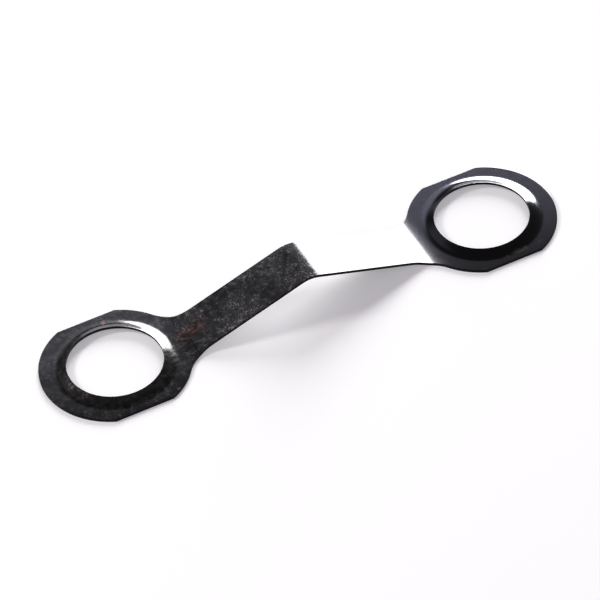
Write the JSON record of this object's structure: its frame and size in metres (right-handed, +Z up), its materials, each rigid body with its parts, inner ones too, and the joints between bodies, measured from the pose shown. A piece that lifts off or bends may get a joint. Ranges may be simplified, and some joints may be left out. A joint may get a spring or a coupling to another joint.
{
  "type": "lock plate",
  "caption": "Sheet steel lock plate: an eye with a raised lip and two sheared flats at each end, joined by a strap bent into a low roof.",
  "frame": {"origin": "on the underside of the eyes, midway between the centres of the two holes", "axes": "+X from hole to hole, +Z up, the way the lips are turned and the strap rises"},
  "size_m": [0.192, 0.0474, 0.0149],
  "materials": {
    "dark_steel": "dark tempered spring steel with a thin black oxide, faint grain and light scuffs"
  },
  "bodies": {
    "root": {"lock_plate": "dark_steel"}
  },
  "joints": []
}
